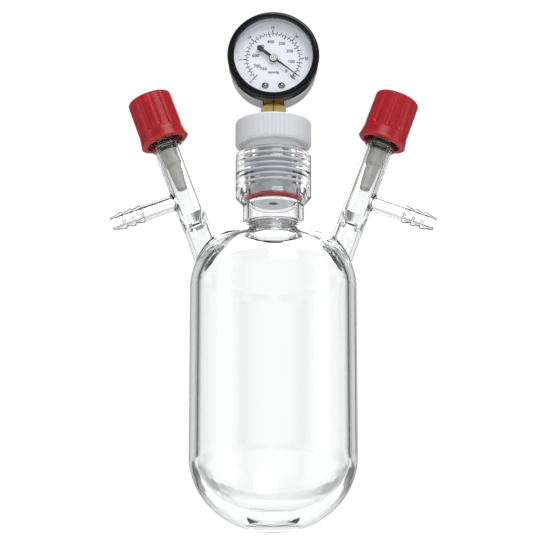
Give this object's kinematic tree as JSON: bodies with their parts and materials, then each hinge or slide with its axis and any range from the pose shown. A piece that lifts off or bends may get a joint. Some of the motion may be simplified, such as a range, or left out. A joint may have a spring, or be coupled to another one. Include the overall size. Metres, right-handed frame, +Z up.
{
  "type": "vacuum reaction flask",
  "caption": "Tall heavy-wall glass flask with a screw-in bushing, a vacuum gauge on top and a slanted knob valve with a barbed hose tube on each shoulder.",
  "frame": {"origin": "centre of the flat under the base", "axes": "+Z up the flask's axis, +X towards the right-hand valve, the gauge's dial faces -Y"},
  "size_m": [0.1976, 0.1, 0.3169],
  "materials": {
    "glass": "clear blown borosilicate glass, fire polished",
    "ptfe": "turned PTFE, satin",
    "seal_red": "red silicone O-ring",
    "brass": "machined brass, bright",
    "case_grey": "light grey painted steel",
    "bezel_black": "gloss black",
    "window": "clear gauge window",
    "dial": "pale printed dial",
    "chrome": "plated screw heads",
    "gauge_inner_brass": "plain brass movement",
    "pointer_black": "matt black",
    "cap_white": "pale cap",
    "spacer": "plain spacer ring",
    "knob_red": "moulded red plastic, semi gloss",
    "spindle_grey": "warm grey filled PTFE, satin",
    "seal_black": "black O-rings"
  },
  "bodies": {
    "flask": {"flask": "glass"},
    "bushing_seal": {"bushing_o_ring": "seal_red"},
    "bushing": {"bushing": "ptfe", "brass_adapter": "brass", "gauge_socket": "brass", "gauge_case": "case_grey", "case_screws": "chrome", "gauge_bezel": "bezel_black", "gauge_window": "window", "window_ring": "spacer", "dial_plate": "dial", "dial_screws": "chrome", "bourdon_tube": "gauge_inner_brass", "tube_tip": "gauge_inner_brass", "movement_back_plate": "gauge_inner_brass", "movement_front_plate": "gauge_inner_brass", "movement_pillars": "gauge_inner_brass", "movement_screws": "chrome"},
    "sector": {"sector_gear": "gauge_inner_brass"},
    "link": {"gauge_link": "gauge_inner_brass"},
    "pointer": {"pinion_arbor": "gauge_inner_brass", "pointer": "pointer_black", "pointer_cap": "cap_white"},
    "right_spindle": {"right_spindle": "spindle_grey", "right_spindle_o_rings": "seal_black"},
    "right_knob": {"right_knob": "knob_red"},
    "left_spindle": {"left_spindle": "spindle_grey", "left_spindle_o_rings": "seal_black"},
    "left_knob": {"left_knob": "knob_red"}
  },
  "joints": [
    {"name": "bushing_lift", "type": "slide", "parent": "flask", "child": "bushing_seal", "axis": [0, 0, 1], "range_m": [0, 0.045]},
    {"name": "bushing_turn", "type": "hinge", "parent": "bushing_seal", "child": "bushing", "pos_m": [0, 0, 0.2], "axis": [0, 0, 1], "range_deg": [0, 4765.7]},
    {"name": "sector_swing", "type": "hinge", "parent": "bushing", "child": "sector", "pos_m": [0, 0, 0.27675], "axis": [0, -1, 0], "range_deg": [-37.43, 1.14]},
    {"name": "pointer_turn", "type": "hinge", "parent": "bushing", "child": "pointer", "pos_m": [0, 0, 0.28875], "axis": [0, -1, 0], "range_deg": [-8.1, 262.1]},
    {"name": "link_swing", "type": "hinge", "parent": "sector", "child": "link", "pos_m": [-0.00188, 0, 0.27299], "axis": [0, -1, 0], "range_deg": [-1.24, 37.53]},
    {"name": "right_valve_close", "type": "slide", "parent": "flask", "child": "right_spindle", "axis": [-0.342, 0, -0.9397], "range_m": [0, 0.0224]},
    {"name": "right_knob_turn", "type": "hinge", "parent": "right_spindle", "child": "right_knob", "pos_m": [0.07201, 0, 0.2547], "axis": [-0.342, 0, -0.9397], "range_deg": [0, 2689]},
    {"name": "left_valve_close", "type": "slide", "parent": "flask", "child": "left_spindle", "axis": [0.342, 0, -0.9397], "range_m": [0, 0.0224]},
    {"name": "left_knob_turn", "type": "hinge", "parent": "left_spindle", "child": "left_knob", "pos_m": [-0.07201, 0, 0.2547], "axis": [0.342, 0, -0.9397], "range_deg": [0, 2689]}
  ],
  "couplings": [
    {"joint": "bushing_turn", "follows": "bushing_lift", "rad_per_m": 1848},
    {"joint": "pointer_turn", "follows": "sector_swing", "ratio": -7},
    {"joint": "link_swing", "follows": "sector_swing", "ratio": -1},
    {"joint": "right_knob_turn", "follows": "right_valve_close", "rad_per_m": 2094.4},
    {"joint": "left_knob_turn", "follows": "left_valve_close", "rad_per_m": 2094.4}
  ]
}
